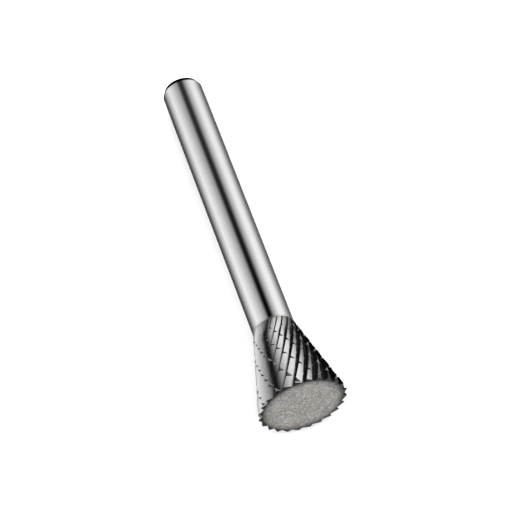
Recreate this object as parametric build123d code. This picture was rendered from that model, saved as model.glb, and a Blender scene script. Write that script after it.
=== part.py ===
from build123d import *
import math
import os

# Inverted-cone carbide burr for a die grinder: a ground steel shank with a
# cross-cut tungsten carbide head brazed to its front end.
# Millimetres and degrees. The tool axis is +X, from the shank's back end face,
# which is the origin, to the head's flat end face. +Z is up.

# Shank
shank_diameter = 6.0
shank_length = 45.0
shank_chamfer_length = 0.8
shank_chamfer_width = 0.4
shank_edge_round = 0.12

# Braze: a copper shim between two layers of silver. The front layer has a lip
# that closes over the shim's edge.
silver_thickness = 0.06
shim_thickness = 0.12
shim_diameter = 5.6

# Head. Both head diameters are over the cutting edges.
neck_diameter = 6.0
head_diameter = 12.7
head_length = 13.0
rim_chamfer_length = 0.1
rim_chamfer_width = 0.65

# Teeth: one spiral flute a tooth, all sizes at the rim. The cut is right-hand,
# so seen from the front each edge faces anticlockwise.
tooth_count = 24
tooth_depth = 0.62
helix_angle = 25.5
gullet_start = 2.4
gullet_end = 4.6
first_edge = 7.5

# Chip breakers: V grooves on a left-hand spiral across the teeth. They start a
# little in front of the neck.
breaker_count = 12
breaker_start = 2.4
breaker_depth = 0.45
breaker_width = 0.55
breaker_angle = 27.6
first_breaker = 1.3

# Spiral curves pass through this many points.
spiral_points = 15

braze_thickness = 2 * silver_thickness + shim_thickness
head_start = shank_length
head_end = shank_length + head_length
rim_x = head_end - rim_chamfer_length
neck_radius = neck_diameter / 2
rim_radius = head_diameter / 2
taper = (rim_radius - neck_radius) / (rim_x - head_start)
cone_sine = math.sin(math.atan(taper))


def edge_radius(x):
    """Radius over the cutting edges at a place along the axis."""
    return neck_radius + taper * (x - head_start)


def spiral_turn(x, angle):
    """Angle turned since the rim by a spiral that keeps a constant helix angle on the cone."""
    scale = edge_radius(x) / rim_radius
    return math.degrees(math.tan(math.radians(angle)) / cone_sine * math.log(scale))


def on_axis_circle(x, radius, degrees):
    """A point at a radius and an angle about the tool axis, counted from +Y towards +Z."""
    turn = math.radians(degrees)
    return Vector(x, radius * math.cos(turn), radius * math.sin(turn))


def spiral(start, end, depth, degrees, angle):
    """A spiral at a depth under the cutting edges; depth is its size at the rim."""
    share = 1 - depth / rim_radius
    points = []
    for i in range(spiral_points):
        x = start + (end - start) * i / (spiral_points - 1)
        points.append(on_axis_circle(x, edge_radius(x) * share, degrees + spiral_turn(x, angle)))
    steps = [i / (spiral_points - 1) for i in range(spiral_points)]
    return Edge.make_spline(points, parameters=steps)


def twisted_bar(curves):
    """A solid whose sides are ruled between neighbouring curves, with flat ends."""
    pairs = list(zip(curves, curves[1:] + curves[:1]))
    sides = [Face.make_surface_from_curves(a, b) for a, b in pairs]
    ends = []
    for place in (0, 1):
        corners = [curve @ place for curve in curves]
        ends.append(Face(Wire.make_polygon(corners, close=True)))
    solid = Solid(Shell(sides + ends))
    return solid if solid.volume > 0 else Solid(Shell([-face for face in sides + ends]))


def toothed_cone():
    """The head's blank with all its teeth: edge, gullet floor and sloping back, round and round."""
    curves = []
    for tooth in range(tooth_count):
        edge = first_edge + tooth * 360 / tooth_count
        curves.append(spiral(head_start, head_end, 0, edge, helix_angle))
        for gullet in (gullet_start, gullet_end):
            curves.append(spiral(head_start, head_end, tooth_depth, edge + gullet, helix_angle))
    return twisted_bar(curves)


def chip_breaker(degrees):
    """One V groove, to past the end face."""
    half_width = math.degrees(breaker_width / 2 / math.cos(math.radians(breaker_angle)) / rim_radius)
    rise = breaker_depth
    spread = half_width * (breaker_depth + rise) / breaker_depth
    overrun = 1.0
    start = head_start + breaker_start
    end = head_end + overrun
    corners = [(breaker_depth, 0), (-rise, spread), (-rise, -spread)]
    curves = [spiral(start, end, depth, degrees + shift, -breaker_angle) for depth, shift in corners]
    return twisted_bar(curves)


def rim_chamfer():
    """The ring that is ground away from the teeth's front ends."""
    margin = 1.0
    slope = rim_chamfer_length / rim_chamfer_width
    inner = rim_radius - rim_chamfer_width
    outer = rim_radius + margin
    back = head_end - rim_chamfer_length - slope * margin
    front = head_end + margin
    outline = Polyline((head_end, inner), (front, inner), (front, outer), (back, outer), close=True)
    return revolve(make_face(outline), Axis.X)


def shank():
    """The steel rod. Both edges of its back chamfer are slightly rounded."""
    steel_length = shank_length - braze_thickness
    radius = shank_diameter / 2
    outline = Polyline(
        (0, 0),
        (0, radius - shank_chamfer_width),
        (shank_chamfer_length, radius),
        (steel_length, radius),
        (steel_length, 0),
        close=True,
    )
    rod = revolve(make_face(outline), Axis.X)
    back_edges = rod.edges().filter_by(GeomType.CIRCLE).sort_by(Axis.X)[:2]
    return fillet(back_edges, shank_edge_round)


def disc(start, thickness, diameter):
    """A round layer across the tool axis."""
    place = Plane((start, 0, 0), x_dir=(0, 1, 0), z_dir=(1, 0, 0))
    return extrude(place * Circle(diameter / 2), thickness)


def silver_braze_shank_side():
    return disc(shank_length - braze_thickness, silver_thickness, shank_diameter)


def copper_shim():
    return disc(shank_length - silver_thickness - shim_thickness, shim_thickness, shim_diameter)


def silver_braze_head_side():
    """The front layer and the lip round the shim, which reaches the back layer."""
    layer = disc(
        shank_length - silver_thickness - shim_thickness,
        silver_thickness + shim_thickness,
        shank_diameter,
    )
    return layer - copper_shim()


def carbide_head():
    head = toothed_cone() - rim_chamfer()
    grooves = [chip_breaker(first_breaker + i * 360 / breaker_count) for i in range(breaker_count)]
    return head.cut(*grooves)


os.makedirs("parts", exist_ok=True)
for make in (shank, silver_braze_shank_side, copper_shim, silver_braze_head_side, carbide_head):
    export_step(make(), "parts/" + make.__name__ + ".step")
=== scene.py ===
import math

import bmesh
import bpy
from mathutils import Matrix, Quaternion, Vector


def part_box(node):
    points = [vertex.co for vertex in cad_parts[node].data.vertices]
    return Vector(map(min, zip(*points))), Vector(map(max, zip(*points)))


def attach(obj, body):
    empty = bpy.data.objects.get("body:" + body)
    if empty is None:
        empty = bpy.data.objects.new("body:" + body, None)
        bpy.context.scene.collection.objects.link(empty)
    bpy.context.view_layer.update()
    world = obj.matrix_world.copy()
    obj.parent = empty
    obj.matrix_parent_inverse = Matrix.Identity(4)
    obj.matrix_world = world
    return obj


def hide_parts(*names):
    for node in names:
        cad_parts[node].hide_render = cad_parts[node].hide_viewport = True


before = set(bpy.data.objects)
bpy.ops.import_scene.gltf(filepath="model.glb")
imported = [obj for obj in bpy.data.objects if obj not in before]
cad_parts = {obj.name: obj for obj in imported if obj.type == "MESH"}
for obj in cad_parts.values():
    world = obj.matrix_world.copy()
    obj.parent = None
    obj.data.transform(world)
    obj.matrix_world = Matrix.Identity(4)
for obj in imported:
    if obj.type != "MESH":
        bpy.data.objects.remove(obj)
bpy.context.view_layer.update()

# Inverted-cone carbide burr lying on its side, in metres. +X runs along the tool
# axis from the shank's back end to the head's flat end face, and +Z is up.
MM = 0.001
head_low, head_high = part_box("carbide_head")
shank_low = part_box("shank")[0]

# The head's cutting edges, as in the CAD
rim_radius = 6.35 * MM
neck_radius = 3.0 * MM
rim_chamfer_length = 0.1 * MM
rim_chamfer_width = 0.65 * MM
face_radius = rim_radius - rim_chamfer_width
neck_x = head_low.x
end_x = head_high.x
rim_x = end_x - rim_chamfer_length
taper = (rim_radius - neck_radius) / (rim_x - neck_x)
cone_sine = math.sin(math.atan(taper))
helix_angle = math.radians(25.5)
spiral_rate = math.tan(helix_angle) / cone_sine

# Teeth: one spiral flute a tooth. Its section is given by points at an angle in degrees
# past the cutting edge and a depth under it, both at the rim.
tooth_count = 24
tooth_pitch = 360 / tooth_count
first_edge = 7.5
rake_foot = (1.9, 0.55 * MM)
gullet = ((2.47, 0.61 * MM), (3.2, 0.64 * MM), (3.94, 0.64 * MM), (4.57, 0.615 * MM))
back_foot = (5.07, 0.575 * MM)
back_bulge = 0.02
# The teeth are shallower towards the neck: their share of the full depth there, and how
# far in front of the neck they have all of it.
neck_share = 0.34
neck_run = 2.5 * MM

# Chip breakers: a notch in every tooth, all in rows on left-hand spirals. Each row's
# notches have their own width, and the pattern of widths repeats.
notch_rows_round = 12
notch_row_angle = math.radians(27.5)
row_skew = math.sin(notch_row_angle - helix_angle) / math.sin(notch_row_angle + helix_angle)
notch_pitch = 360 * (1 - row_skew) / notch_rows_round
notch_widths = (0.95, 0.8, 0.62, 1.05)
first_notch = 4.72
notch_depth = 0.5 * MM
# A notch of width 1 reaches this many degrees towards the neck and towards the rim
notch_neck_run = 5.07
notch_rim_run = 1.5
# How much a notch leans in its tooth, and how hollow its long wall is
notch_slant = 0.73
notch_bulge = 1.37
# Where the notches begin and where they have their full depth, in front of the neck
notch_fade = (1.2 * MM, 2.4 * MM)

# The mesh has this many lines across a notch's wall and across the plain part between two
notch_steps = 6
plain_steps = 9
# It runs past the neck and the rim by this much, in degrees, before it is cut there
neck_margin = 6.0
rim_margin = 14.0
# The depth under the cutting edges at which the shade painted into the teeth's colour would be darkest
recess_depth = 0.656 * MM
sharp_angle = math.radians(24)


# ---- Camera ----

# A long lens, above and in front of the head and a little to the -Y side
camera_aim = Vector((32.44, 1.277, 0.214)) * MM
camera_azimuth = math.radians(77.61)
camera_elevation = math.radians(55.35)
camera_roll = math.radians(-6.28)
camera_distance = 322.2 * MM
camera_lens = 161.2


def make_camera():
    back = Vector((
        math.sin(camera_azimuth) * math.cos(camera_elevation),
        -math.cos(camera_azimuth) * math.cos(camera_elevation),
        math.sin(camera_elevation),
    ))
    camera = bpy.data.objects.new("camera", bpy.data.cameras.new("camera"))
    camera.data.lens = camera_lens
    camera.data.clip_start = 0.01
    camera.location = camera_aim + back * camera_distance
    camera.rotation_mode = "QUATERNION"
    level = (-back).to_track_quat("-Z", "Y")
    camera.rotation_quaternion = Quaternion(back, camera_roll) @ level
    bpy.context.scene.collection.objects.link(camera)
    bpy.context.scene.camera = camera


# ---- Node helpers ----

def feed(tree, socket, value):
    """Sets a socket to a value, or links it to another node's output."""
    if isinstance(value, bpy.types.NodeSocket):
        tree.links.new(value, socket)
    else:
        socket.default_value = value


def node(tree, kind, **values):
    """A shader node.

    Names with a leading in_ are sockets, by name or number; the rest are properties.
    """
    made = tree.nodes.new(kind)
    for name, value in values.items():
        if not name.startswith("in_"):
            setattr(made, name, value)
    for name, value in values.items():
        if name.startswith("in_"):
            key = name[3:]
            feed(tree, made.inputs[int(key) if key.isdigit() else key.replace("_", " ")], value)
    return made


def math_node(tree, operation, *values):
    made = node(tree, "ShaderNodeMath", operation=operation)
    for socket, value in zip(made.inputs, values):
        feed(tree, socket, value)
    return made.outputs[0]


def ramp(tree, factor, stops, interpolation="LINEAR"):
    """A ramp of greys from (place, grey) stops."""
    made = node(tree, "ShaderNodeValToRGB", in_Fac=factor)
    elements = made.color_ramp.elements
    made.color_ramp.interpolation = interpolation
    for i, (place, grey) in enumerate(stops):
        element = elements[i] if i < 2 else elements.new(place)
        element.position = place
        element.color = (grey, grey, grey, 1.0)
    return made.outputs["Color"]


# ---- Studio ----

# Brightness that metal mirrors, by angle in degrees about the tool axis from straight
# up towards +Y: a softbox each side of a dark gap overhead.
softbox_bands = (
    (-180, 0.04),
    (-130, 0.14),
    (-92, 0.70),
    (-74, 0.78),
    (-22, 0.28),
    (-9, 0.01),
    (5, 0.0),
    (19, 0.25),
    (45, 0.70),
    (62, 0.84),
    (80, 0.73),
    (110, 0.26),
    (140, 0.08),
    (180, 0.04),
)
# The softboxes' share by a direction's X, from -1 to 1: little light comes from the tool's
# ends, and the softbox on the -Y side is dimmer in its middle.
rear_falloff = (
    (-1.0, 0.01),
    (-0.87, 0.04),
    (-0.79, 0.2),
    (-0.71, 0.6),
    (-0.62, 0.88),
    (-0.53, 1.0),
)
plus_y_falloff = (*rear_falloff, (-0.1, 0.9), (0.6, 0.9), (0.8, 0.4), (1.0, 0.05))
minus_y_falloff = (
    *rear_falloff,
    (-0.35, 0.8),
    (-0.15, 0.6),
    (0.2, 0.6),
    (0.6, 0.9),
    (0.8, 0.4),
    (1.0, 0.05),
)
# A weak fill by X, which shows in the dark gap: it brightens the shank's back half a little
overhead_fill = ((-0.85, 0.0), (-0.64, 0.044), (-0.58, 0.02), (-0.53, 0.0))
# The pale floor as metal mirrors it, by X
floor_glow = ((-0.6, 0.0), (-0.3, 0.4), (0.1, 0.45), (0.45, 0.34), (0.9, 0.05))
softbox_strength = 1.3
room_brightness = 1.9
floor_half = 3.0


def along_axis(tree, x, stops):
    """A level by a direction's X; the places of the stops go from -1 to 1."""
    share = math_node(tree, "MULTIPLY_ADD", x, 0.5, 0.5)
    return ramp(tree, share, [((place + 1) / 2, level) for place, level in stops])


def softboxes(tree, x, y, z):
    """The brightness of the two softboxes in a direction."""
    turn = math_node(tree, "MULTIPLY_ADD", math_node(tree, "ARCTAN2", y, z), 0.5 / math.pi, 0.5)
    stops = [((degrees + 180) / 360, level) for degrees, level in softbox_bands]
    bands = ramp(tree, turn, stops, "CARDINAL")
    plus_y = along_axis(tree, x, plus_y_falloff)
    minus_y = along_axis(tree, x, minus_y_falloff)
    on_plus_y = math_node(tree, "GREATER_THAN", y, 0.0)
    # Sockets 0, 2 and 3 of a mix of plain numbers are its factor and the numbers
    falloff = node(tree, "ShaderNodeMix", in_0=on_plus_y, in_2=minus_y, in_3=plus_y).outputs[0]
    return math_node(tree, "MULTIPLY", bands, math_node(tree, "MULTIPLY", falloff, softbox_strength))


def mirrored_floor(tree, x, y, z):
    """The glow of the floor, which is strongest half-way between sideways and straight down."""
    downward = math_node(tree, "MAXIMUM", math_node(tree, "MULTIPLY", z, -1.0), 0.0)
    share = math_node(tree, "MULTIPLY", downward, math_node(tree, "ABSOLUTE", y))
    return math_node(tree, "MULTIPLY", along_axis(tree, x, floor_glow), share)


def mirrored_light(tree):
    """The brightness that metal mirrors from each direction."""
    direction = node(tree, "ShaderNodeTexCoord").outputs["Generated"]
    axes = node(tree, "ShaderNodeSeparateXYZ", in_Vector=direction).outputs
    fill = along_axis(tree, axes["X"], overhead_fill)
    fill = math_node(tree, "ADD", fill, mirrored_floor(tree, axes["X"], axes["Y"], axes["Z"]))
    return math_node(tree, "ADD", softboxes(tree, axes["X"], axes["Y"], axes["Z"]), fill)


def light_studio():
    """An even white room for the floor and matt surfaces, and soft bands for metal to mirror."""
    world = bpy.data.worlds.new("studio")
    bpy.context.scene.world = world
    world.use_nodes = True
    world.cycles.sampling_method = "NONE"
    tree = world.node_tree
    tree.nodes.clear()
    mirrored = node(tree, "ShaderNodeBackground", in_Color=mirrored_light(tree)).outputs[0]
    white = (1, 1, 1, 1)
    room = node(tree, "ShaderNodeBackground", in_Color=white, in_Strength=room_brightness).outputs[0]
    glossy = node(tree, "ShaderNodeLightPath").outputs["Is Glossy Ray"]
    light = node(tree, "ShaderNodeMixShader", in_0=glossy, in_1=room, in_2=mirrored)
    node(tree, "ShaderNodeOutputWorld", in_Surface=light.outputs[0])


def make_floor():
    """A pale floor that the head's rim and the shank's back edge both touch, so it slopes a little."""
    slope = (shank_low.z - head_low.z) / (rim_x - shank_low.x)
    mesh = bpy.data.meshes.new("floor")
    corners = []
    for x, y in ((-1, -1), (1, -1), (1, 1), (-1, 1)):
        height = shank_low.z - slope * (x * floor_half - shank_low.x)
        corners.append((x * floor_half, y * floor_half, height))
    mesh.from_pydata(corners, [], [(0, 1, 2, 3)])
    floor = bpy.data.objects.new("floor", mesh)
    bpy.context.scene.collection.objects.link(floor)
    material = bpy.data.materials.new("floor")
    material.use_nodes = True
    shader = material.node_tree.nodes["Principled BSDF"]
    shader.inputs["Base Color"].default_value = (0.86, 0.86, 0.86, 1)
    shader.inputs["Roughness"].default_value = 1.0
    shader.inputs["Specular IOR Level"].default_value = 0.0
    mesh.materials.append(material)
    floor.visible_glossy = False


# ---- The head's mesh ----
#
# The mesh follows two families of spirals. Lines along the teeth are numbered i and lines
# across them j. A flute coordinate is constant along a right-hand spiral and a groove
# coordinate along a left-hand one. Both are the angle in degrees at the rim.

def back_share(depth):
    """How far up its back a tooth reaches a depth; the back is a little steeper at its foot."""
    fall = 1 - depth / back_foot[1]
    foot_slope = 1 + back_bulge
    root = math.sqrt(foot_slope * foot_slope - 4 * back_bulge * fall)
    return (foot_slope - root) / (2 * back_bulge)


def tooth_lines():
    """(angle past the edge, depth, slant) for each line along one tooth; the next edge isn't one.

    The rake and the back have lines at the depths of a notch's own lines, so that the
    outline of a notch follows the mesh.
    """
    levels = [notch_depth * i / notch_steps for i in range(notch_steps + 1)]
    lines = []
    for level in levels:
        angle = rake_foot[0] * level / rake_foot[1]
        lines.append((angle, level, notch_slant * angle))
    foot_slant = notch_slant * rake_foot[0]
    far_slant = notch_slant * (back_foot[0] - tooth_pitch)
    for angle, depth in (rake_foot, *gullet, back_foot):
        share = (angle - rake_foot[0]) / (back_foot[0] - rake_foot[0])
        lines.append((angle, depth, foot_slant + share * (far_slant - foot_slant)))
    back_depths = [(back_foot[1] + notch_depth) / 2, *reversed(levels[1:])]
    for depth in back_depths:
        angle = back_foot[0] + back_share(depth) * (tooth_pitch - back_foot[0])
        lines.append((angle, depth, notch_slant * (angle - tooth_pitch)))
    return lines


def notch_lines():
    """(angle, depth) for each line across the teeth, over one pattern of notch widths."""
    lines = []
    for number, width in enumerate(notch_widths):
        deepest = first_notch + number * notch_pitch
        for i in range(notch_steps):
            share = i / notch_steps
            run = notch_neck_run * width * (1 - share ** (1 / notch_bulge))
            lines.append((deepest - run, notch_depth * share))
        for i in range(notch_steps):
            share = i / notch_steps
            lines.append((deepest + notch_rim_run * width * share, notch_depth * (1 - share)))
        start = deepest + notch_rim_run * width
        following = notch_widths[(number + 1) % len(notch_widths)]
        end = deepest + notch_pitch - notch_neck_run * following
        for i in range(plain_steps):
            lines.append((start + (end - start) * i / plain_steps, 0.0))
    return lines


lines_along = tooth_lines()
lines_across = notch_lines()
along_round = tooth_count * len(lines_along)
across_round = notch_rows_round // len(notch_widths) * len(lines_across)
pattern_pitch = notch_pitch * len(notch_widths)
# A point's two coordinates are equal at the rim; at the neck the groove one is less by this
neck_sweep = math.degrees(2 * spiral_rate * math.log(rim_radius / neck_radius))


def line_along(i):
    """(flute coordinate, depth, slant) of a line along the teeth."""
    tooth, rest = divmod(i, len(lines_along))
    angle, depth, slant = lines_along[rest]
    return first_edge + tooth * tooth_pitch + angle, depth, slant


def line_across(j):
    """(angle, depth) of a line across the teeth."""
    lap, rest = divmod(j, len(lines_across))
    angle, depth = lines_across[rest]
    return angle + lap * pattern_pitch, depth


def crossing(i, j):
    """The flute and groove coordinates where two lines cross; rows of notches skew and slant."""
    flute, _, slant = line_along(i)
    return flute, line_across(j)[0] + slant + row_skew * flute


def lines_met(i):
    """The lines across that a line along the teeth meets, from behind the neck to past the rim."""
    level = line_along(i)[0] * (1 - row_skew)
    low = level - neck_sweep - neck_margin
    high = level + rim_margin
    first = (math.floor(low / pattern_pitch) - 1) * len(lines_across)
    last = (math.ceil(high / pattern_pitch) + 1) * len(lines_across)
    return [j for j in range(first, last) if low < line_across(j)[0] < high]


def edge_radius(flute, groove):
    """Radius over the cutting edges where a right-hand and a left-hand spiral cross."""
    return rim_radius * math.exp(math.radians(groove - flute) / (2 * spiral_rate))


def fade(edge, start, end):
    """Rises from 0 to 1 between two distances in front of the neck; the place is given by its radius."""
    from_neck = (edge - neck_radius) / taper
    return min(1.0, max(0.0, (from_neck - start) / (end - start)))


def surface_point(flute, groove, depth):
    """Where two spirals cross, at a depth under the cutting edges."""
    turn = math.radians(flute + groove) / 2
    edge = edge_radius(flute, groove)
    radius = edge * (1 - depth / rim_radius)
    x = rim_x - (rim_radius - edge) / taper
    return Vector((x, radius * math.cos(turn), radius * math.sin(turn)))


def head_point(i, j):
    """(place, and two masks for the shading) where two lines cross: the first is for the shade painted
    into the colour with depth and on the rake faces, the second for the shade painted into the notches.
    """
    flute, groove = crossing(i, j)
    edge = edge_radius(flute, groove)
    tooth = line_along(i)[1] * (neck_share + (1 - neck_share) * fade(edge, 0.0, neck_run))
    cut = line_across(j)[1] * fade(edge, *notch_fade)
    depth = max(tooth, cut)
    # Painted shade: the rake faces get the darkest shade, elsewhere it grows with depth
    on_rake = 0 < (flute - first_edge) % tooth_pitch <= rake_foot[0]
    recess_shade = 1.0 if on_rake else depth / recess_depth
    # Painted shade: this mask darkens the notches' walls in the colour
    notch = min(1.0, notch_steps * max(0.0, cut - tooth) / notch_depth)
    return surface_point(flute, groove, depth), recess_shade, notch


def texture_place(i, j):
    """Millimetres across and along the flutes, as if the cone were laid flat."""
    flute, groove = crossing(i, j)
    across = math.radians(flute) * rim_radius * math.cos(helix_angle)
    along = math.radians(groove - flute) / (2 * spiral_rate) * rim_radius / cone_sine
    return across / MM, along / MM


def square(i, j):
    """The faces of one mesh square, cut corner to corner where a notch meets the side of a tooth."""
    corners = [(i, j), (i, j + 1), (i + 1, j + 1), (i + 1, j)]
    deeper_tooth = line_along(i + 1)[1] - line_along(i)[1]
    deeper_notch = line_across(j + 1)[1] - line_across(j)[1]
    if deeper_notch == 0 or deeper_tooth == 0:
        return [corners]
    if deeper_notch * deeper_tooth > 0:
        return [corners[:3], [corners[0], corners[2], corners[3]]]
    return [[corners[0], corners[1], corners[3]], corners[1:]]


def add_teeth(bm):
    """The teeth and notches as one open mesh that runs past the neck and the rim."""
    flutes = bm.loops.layers.uv.new("flutes")
    # Masks for the shade painted into the carbide's colour: by depth and on the rake faces, and in the
    # notches
    recess_shade = bm.verts.layers.float.new("recess_shade")
    notch = bm.verts.layers.float.new("notch")
    verts = {}

    def vert(i, j):
        """The mesh closes on itself: a full turn of flutes is also a full turn of grooves."""
        laps = i // along_round
        key = (i - laps * along_round, j - laps * across_round)
        if key not in verts:
            place, in_recess_shade, in_notch = head_point(*key)
            verts[key] = bm.verts.new(place)
            verts[key][recess_shade] = in_recess_shade
            verts[key][notch] = in_notch
        return verts[key]

    for i in range(along_round):
        for j in lines_met(i):
            for corners in square(i, j):
                face = bm.faces.new([vert(*corner) for corner in corners])
                face.smooth = True
                for loop, corner in zip(face.loops, corners):
                    loop[flutes].uv = texture_place(*corner)


def chamfer_drop(point):
    """How far the rim's chamfer lies behind the end face at a point's distance from the axis."""
    radius = math.hypot(point.y, point.z)
    return max(0.0, radius - face_radius) * rim_chamfer_length / rim_chamfer_width


def ring_angle(vert):
    """A point's angle about the tool axis, from +Y towards +Z."""
    return math.atan2(vert.co.z, vert.co.y)


def cut_across(bm, x, keep_below):
    """Cuts the open surface square to the axis and returns the new edge's points, in order."""
    geometry = bm.verts[:] + bm.edges[:] + bm.faces[:]
    cut = bmesh.ops.bisect_plane(
        bm,
        geom=geometry,
        dist=1e-8,
        plane_co=(x, 0, 0),
        plane_no=(1, 0, 0),
        clear_outer=keep_below,
        clear_inner=not keep_below,
    )
    ring = {v for v in cut["geom_cut"] if isinstance(v, bmesh.types.BMVert)}
    return sorted(ring, key=ring_angle)


def cut_rim(bm):
    """Cuts the rim along its chamfer: the mesh is sheared so that the chamfer is a plane, and back."""
    for v in bm.verts:
        v.co.x += chamfer_drop(v.co)
    ring = cut_across(bm, end_x, keep_below=True)
    for v in bm.verts:
        v.co.x -= chamfer_drop(v.co)
    return ring


def add_ring(bm, ring, x, radius, material):
    """A smaller ring inside a ring, with faces between them."""
    inner = []
    for v in ring:
        angle = ring_angle(v)
        inner.append(bm.verts.new((x, radius * math.cos(angle), radius * math.sin(angle))))
    for k in range(len(ring)):
        n = (k + 1) % len(ring)
        face = bm.faces.new((ring[k], ring[n], inner[n], inner[k]))
        face.material_index = material
    return inner


def close_ring(bm, ring, material):
    """Fills a ring with faces round its centre."""
    centre = bm.verts.new((ring[0].co.x, 0, 0))
    for k in range(len(ring)):
        face = bm.faces.new((ring[k], ring[(k + 1) % len(ring)], centre))
        face.material_index = material


def build_head():
    """The head as one closed mesh: teeth, chamfered rim, end face and the face at the neck."""
    # Material slots
    teeth, end_face = 0, 1
    bm = bmesh.new()
    add_teeth(bm)
    neck_ring = cut_across(bm, neck_x, keep_below=False)
    rim_ring = cut_rim(bm)
    neck_inner_radius = 0.5 * neck_radius
    neck_ring = add_ring(bm, neck_ring, neck_x, neck_inner_radius, teeth)
    close_ring(bm, neck_ring, teeth)
    face_inner_radius = 0.6 * face_radius
    face_ring = add_ring(bm, rim_ring, end_x, face_radius, teeth)
    face_ring = add_ring(bm, face_ring, end_x, face_inner_radius, end_face)
    close_ring(bm, face_ring, end_face)
    bmesh.ops.recalc_face_normals(bm, faces=bm.faces)
    mesh = bpy.data.meshes.new("burr_head")
    bm.to_mesh(mesh)
    bm.free()
    mesh.set_sharp_from_angle(angle=sharp_angle)
    head = bpy.data.objects.new("burr_head", mesh)
    bpy.context.scene.collection.objects.link(head)
    return head


# ---- Materials ----

def new_material(name, colour, roughness, metallic=1.0):
    """A material, its node tree and its shader."""
    material = bpy.data.materials.new(name)
    material.use_nodes = True
    tree = material.node_tree
    shader = tree.nodes["Principled BSDF"]
    shader.inputs["Metallic"].default_value = metallic
    shader.inputs["Base Color"].default_value = (*colour, 1)
    shader.inputs["Roughness"].default_value = roughness
    return material, tree, shader


def object_place(tree, scale=(1, 1, 1)):
    """Object coordinates in millimetres, stretched by a scale a side."""
    place = node(tree, "ShaderNodeTexCoord").outputs["Object"]
    scales = [side / MM for side in scale]
    return node(tree, "ShaderNodeMapping", in_Vector=place, in_Scale=scales).outputs[0]


def noise(tree, place, scale, detail=3.0, roughness=0.5):
    values = {"in_Vector": place, "in_Scale": scale, "in_Detail": detail, "in_Roughness": roughness}
    return node(tree, "ShaderNodeTexNoise", **values).outputs["Fac"]


def bump(tree, shader, height, strength, distance):
    made = node(tree, "ShaderNodeBump", in_Strength=strength, in_Distance=distance, in_Height=height)
    tree.links.new(made.outputs[0], shader.inputs["Normal"])


def stretch(tree, factor, low, high):
    """A factor from 0 to 1 turned into a value from low to high."""
    return math_node(tree, "MULTIPLY_ADD", factor, high - low, low)


def tint(tree, colour, level):
    """A colour times a level."""
    made = node(tree, "ShaderNodeVectorMath", operation="SCALE", in_0=colour, in_Scale=level)
    return made.outputs[0]


def ground_steel():
    """Bright centreless-ground steel: fine lines round the shank and a slightly uneven sheen."""
    colour = (0.80, 0.80, 0.80)
    material, tree, shader = new_material("ground_steel", colour, 0.1)
    round_shank = object_place(tree, (14, 0.35, 0.35))
    lines = noise(tree, round_shank, scale=1.0, detail=4.0, roughness=0.6)
    cloud = noise(tree, object_place(tree), scale=0.45)
    level = stretch(tree, lines, 0.9, 1.08)
    tree.links.new(tint(tree, colour, level), shader.inputs["Base Color"])
    tree.links.new(stretch(tree, cloud, 0.03, 0.12), shader.inputs["Roughness"])
    bump(tree, shader, lines, strength=0.12, distance=0.004 * MM)
    return material


def ground_carbide():
    """Carbide ground with a fine diamond wheel: streaks along the flutes, with shade painted into the
    colour in the gullets, on the rake faces and in the notches.
    """
    colour = (0.727, 0.727, 0.727)
    material, tree, shader = new_material("ground_carbide", colour, 0.16)
    flutes = node(tree, "ShaderNodeUVMap", uv_map="flutes").outputs[0]
    along = node(tree, "ShaderNodeMapping", in_Vector=flutes, in_Scale=(9, 0.5, 1)).outputs[0]
    streaks = noise(tree, along, scale=1.0, detail=4.0, roughness=0.6)
    grain = noise(tree, object_place(tree), scale=6.0, detail=2.0)
    recess_shade = node(tree, "ShaderNodeAttribute", attribute_name="recess_shade").outputs["Fac"]
    notch = node(tree, "ShaderNodeAttribute", attribute_name="notch").outputs["Fac"]
    # Painted shade: darker with depth, nearly black in the gullets and on the rake faces
    shade = ramp(tree, recess_shade, ((0.0, 1.0), (0.65, 0.95), (0.78, 0.72), (0.88, 0.27), (1.0, 0.2)))
    # Painted shade in the notches: their colour falls to 0.28 of the rest
    shade = math_node(tree, "MULTIPLY", shade, stretch(tree, notch, 1.0, 0.28))
    level = math_node(tree, "MULTIPLY", shade, stretch(tree, streaks, 0.86, 1.12))
    tree.links.new(tint(tree, colour, level), shader.inputs["Base Color"])
    tree.links.new(stretch(tree, grain, 0.1, 0.24), shader.inputs["Roughness"])
    bump(tree, shader, streaks, strength=0.2, distance=0.006 * MM)
    return material


def share_of_rim(tree):
    """Distance from the tool axis as a share of the rim's radius."""
    place = node(tree, "ShaderNodeSeparateXYZ", in_Vector=object_place(tree))
    squares = [math_node(tree, "POWER", place.outputs[side], 2.0) for side in "YZ"]
    distance = math_node(tree, "SQRT", math_node(tree, "ADD", *squares))
    return math_node(tree, "DIVIDE", distance, rim_radius / MM)


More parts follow.
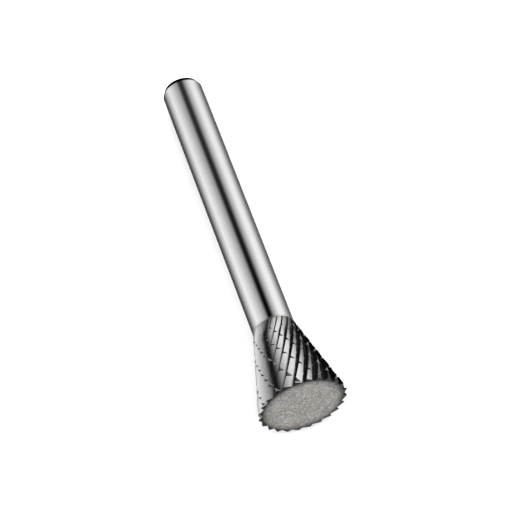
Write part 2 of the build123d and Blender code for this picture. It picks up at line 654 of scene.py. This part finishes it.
def sintered_carbide():
    """The unground end face: matt grey with light and dark grains, its brightest cells painted as
    glints, and shade painted into the colour towards the rim.
    """
    colour = (0.206, 0.197, 0.187)
    material, tree, shader = new_material("sintered_carbide", colour, 0.6, metallic=0.0)
    grains = noise(tree, object_place(tree), scale=2.6, detail=5.0, roughness=0.75)
    blotches = noise(tree, object_place(tree), scale=0.7, detail=2.0)
    cells = node(tree, "ShaderNodeTexVoronoi", in_Vector=object_place(tree), in_Scale=8.0)
    cell = node(tree, "ShaderNodeSeparateColor", in_Color=cells.outputs["Color"]).outputs["Red"]
    speckle = ramp(tree, grains, ((0.3, 0.35), (0.46, 0.88), (0.54, 1.08), (0.66, 1.6)))
    # Random light and dark grain tone; the brightest cells, up to 1.8 times, are painted glints
    sparkle = ramp(tree, cell, ((0.0, 0.55), (0.12, 0.9), (0.85, 1.04), (1.0, 1.8)))
    # Painted shade: the face darkens in a ring towards the rim, where the chamfer lies
    edge = ramp(tree, share_of_rim(tree), ((0.0, 1.0), (0.7, 1.0), (0.8, 0.77), (0.9, 0.25)))
    level = math_node(tree, "MULTIPLY", math_node(tree, "MULTIPLY", speckle, sparkle), edge)
    level = math_node(tree, "MULTIPLY", level, stretch(tree, blotches, 0.8, 1.2))
    tree.links.new(tint(tree, colour, level), shader.inputs["Base Color"])
    shader.inputs["Specular IOR Level"].default_value = 0.35
    bump(tree, shader, grains, strength=0.5, distance=0.03 * MM)
    return material


def silver_solder():
    """Silver braze with a slightly yellow, wiped surface."""
    colour = (0.80, 0.78, 0.73)
    material, tree, shader = new_material("silver_solder", colour, 0.25)
    ripples = noise(tree, object_place(tree), scale=3.0)
    tree.links.new(tint(tree, colour, stretch(tree, ripples, 0.8, 1.1)), shader.inputs["Base Color"])
    tree.links.new(stretch(tree, ripples, 0.15, 0.4), shader.inputs["Roughness"])
    bump(tree, shader, ripples, strength=0.3, distance=0.01 * MM)
    return material


def copper():
    """Plain rolled copper with a little darkening."""
    colour = (0.80, 0.42, 0.28)
    material, tree, shader = new_material("copper", colour, 0.3)
    patches = noise(tree, object_place(tree), scale=1.5, detail=4.0)
    tree.links.new(tint(tree, colour, stretch(tree, patches, 0.6, 1.1)), shader.inputs["Base Color"])
    tree.links.new(stretch(tree, patches, 0.25, 0.45), shader.inputs["Roughness"])
    bump(tree, shader, patches, strength=0.3, distance=0.01 * MM)
    return material


# ---- Making ----

def dress(name, material):
    """Gives a CAD node its material and smooth shading between its real edges."""
    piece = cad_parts[name]
    piece.data.materials.clear()
    piece.data.materials.append(material)
    piece.data.shade_smooth()
    piece.data.set_sharp_from_angle(angle=sharp_angle)


make_camera()
light_studio()
make_floor()

head = build_head()
head.data.materials.append(ground_carbide())
head.data.materials.append(sintered_carbide())
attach(head, "root")
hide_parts("carbide_head")

solder = silver_solder()
dress("shank", ground_steel())
dress("silver_braze_shank_side", solder)
dress("copper_shim", copper())
dress("silver_braze_head_side", solder)

bpy.context.scene.view_settings.view_transform = "Standard"
